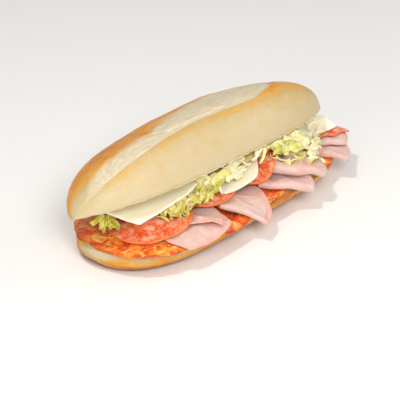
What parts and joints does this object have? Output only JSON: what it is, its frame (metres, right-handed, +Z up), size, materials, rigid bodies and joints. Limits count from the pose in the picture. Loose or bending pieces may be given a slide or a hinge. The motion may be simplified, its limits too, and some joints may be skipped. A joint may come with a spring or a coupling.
{
  "type": "submarine sandwich",
  "caption": "Long crusty roll split open at the front and filled with folded ham, salami, cheese and shredded lettuce.",
  "frame": {"origin": "under the middle of the whole sandwich, on the surface that it rests on", "axes": "+X along the roll, +Z up, -Y towards the open front where the filling shows"},
  "size_m": [0.3082, 0.1398, 0.0994],
  "materials": {
    "crust": "golden baked crust, matte with a slight sheen",
    "ham": "moist pale pink cooked ham",
    "salami": "moist red salami with pale flecks",
    "capicola": "oily orange red cured meat with pale flecks",
    "cheese": "smooth ivory cheese",
    "lettuce": "crisp pale yellow green shreds",
    "lettuce_leaf": "fresh green leaf"
  },
  "bodies": {
    "root": {"capicola_1": "capicola", "capicola_2": "capicola", "capicola_3": "capicola", "capicola_4": "capicola", "cheese_1": "cheese", "cheese_2": "cheese", "cheese_3": "cheese", "crown": "crust", "ham_1": "ham", "ham_2": "ham", "ham_3_lower": "ham", "ham_3_upper": "ham", "ham_4_lower": "ham", "ham_4_upper": "ham", "heel": "crust", "lettuce": "lettuce", "lettuce_leaf": "lettuce_leaf", "salami_1": "salami", "salami_2": "salami", "salami_3": "salami", "salami_4": "salami"}
  },
  "joints": []
}
